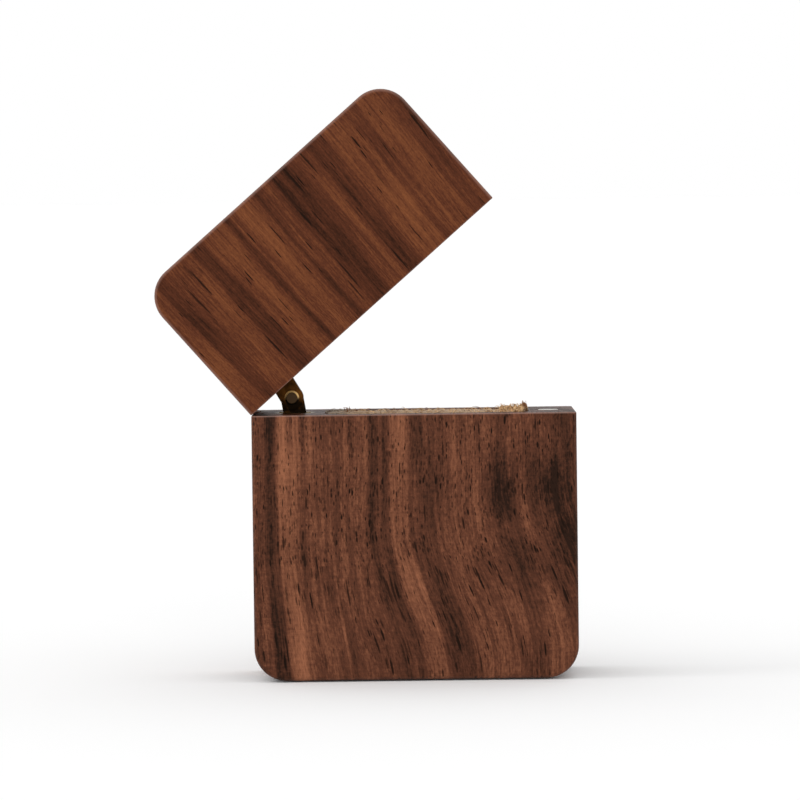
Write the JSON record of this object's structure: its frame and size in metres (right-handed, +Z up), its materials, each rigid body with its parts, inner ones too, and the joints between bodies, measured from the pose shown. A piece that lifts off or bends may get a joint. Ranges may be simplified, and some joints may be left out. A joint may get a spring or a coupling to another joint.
{
  "type": "ring box",
  "caption": "Slim walnut ring box whose rounded lid tips up at one end on a concealed barrel hinge over a slit hessian cushion, with a magnetic closure.",
  "frame": {"origin": "middle of the base's underside, on the surface that the box stands on", "axes": "+X from the hinge end to the magnet end, +Y from the front to the back, +Z up; the lid stands 41.3 degrees open at rest"},
  "size_m": [0.0556, 0.018, 0.0782],
  "materials": {
    "walnut_base": "oiled walnut, fine sanded, satin",
    "walnut_lid": "oiled walnut, fine sanded, satin",
    "barrel_brass": "turned brass",
    "leaf_brass": "stamped brass, darkened",
    "pin_brass": "drawn brass, peened",
    "magnet_nickel": "nickel plated",
    "cushion_foam": "open-cell foam",
    "hessian": "plain-woven jute hessian, frayed at the ends"
  },
  "bodies": {
    "base": {"base_block": "walnut_base", "base_barrel": "barrel_brass", "base_barrel_pin": "pin_brass", "base_magnet": "magnet_nickel", "front_foam": "cushion_foam", "rear_foam": "cushion_foam", "front_hessian": "hessian", "rear_hessian": "hessian"},
    "lid": {"lid_block": "walnut_lid", "lid_barrel": "barrel_brass", "lid_barrel_pin": "pin_brass", "lid_magnet": "magnet_nickel"},
    "lower_link": {"lower_link": "leaf_brass"},
    "upper_link": {"upper_link_front": "leaf_brass", "upper_link_rear": "leaf_brass", "centre_pin": "pin_brass"}
  },
  "joints": [
    {"name": "lid_hinge", "type": "hinge", "parent": "base", "child": "lid", "pos_m": [-0.0215, 0, 0.03523], "axis": [0, -1, 0], "range_deg": [-41.3, 48.7]},
    {"name": "lower_link_slide", "type": "slide", "parent": "base", "child": "lower_link", "axis": [0, 0, 1], "range_m": [-0.00265, 0.00313]},
    {"name": "link_pivot", "type": "hinge", "parent": "lower_link", "child": "upper_link", "pos_m": [-0.01625, 0, 0.03721], "axis": [0, -1, 0], "range_deg": [-41.3, 48.7]}
  ],
  "couplings": [
    {"joint": "lower_link_slide", "follows": "lid_hinge", "m_per_rad": 0.003675},
    {"joint": "link_pivot", "follows": "lid_hinge", "ratio": 1}
  ]
}
